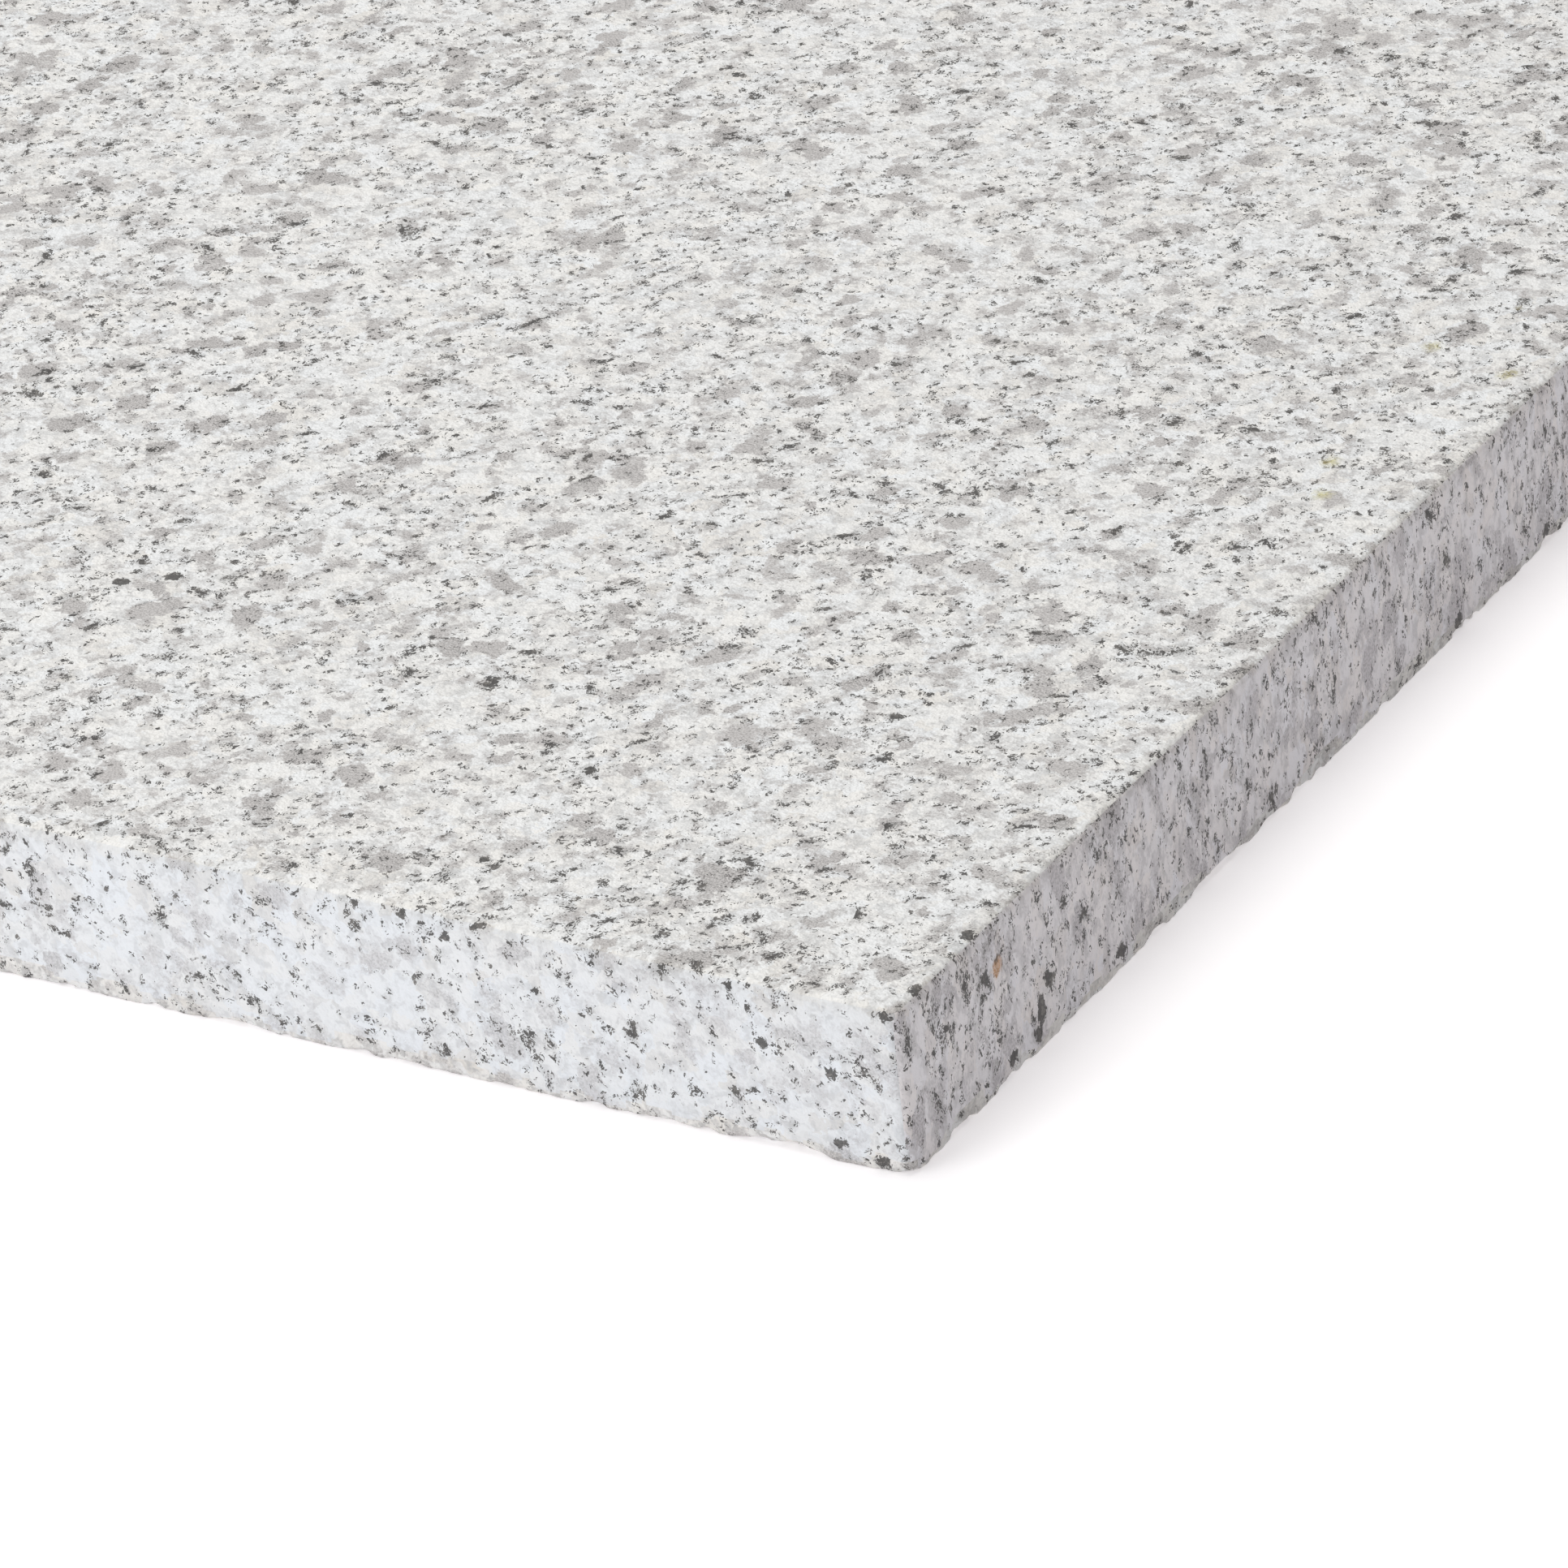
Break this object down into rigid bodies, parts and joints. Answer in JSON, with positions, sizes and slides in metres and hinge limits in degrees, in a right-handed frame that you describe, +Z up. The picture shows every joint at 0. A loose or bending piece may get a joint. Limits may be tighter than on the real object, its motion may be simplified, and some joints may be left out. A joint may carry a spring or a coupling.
{
  "type": "granite paving slab",
  "caption": "Rectangular light grey granite paving slab with a fine flat wearing face, sawn sides, eased upper arris and a broken lower arris.",
  "frame": {"origin": "middle of the bed face, at the underside of the slab", "axes": "+X along the length, +Y along the width, +Z up from the bed to the wearing face"},
  "size_m": [0.6, 0.4, 0.03],
  "materials": {
    "granite": "fine flat texture, sawn sides, unpolished"
  },
  "bodies": {
    "root": {"paving_slab": "granite"}
  },
  "joints": []
}
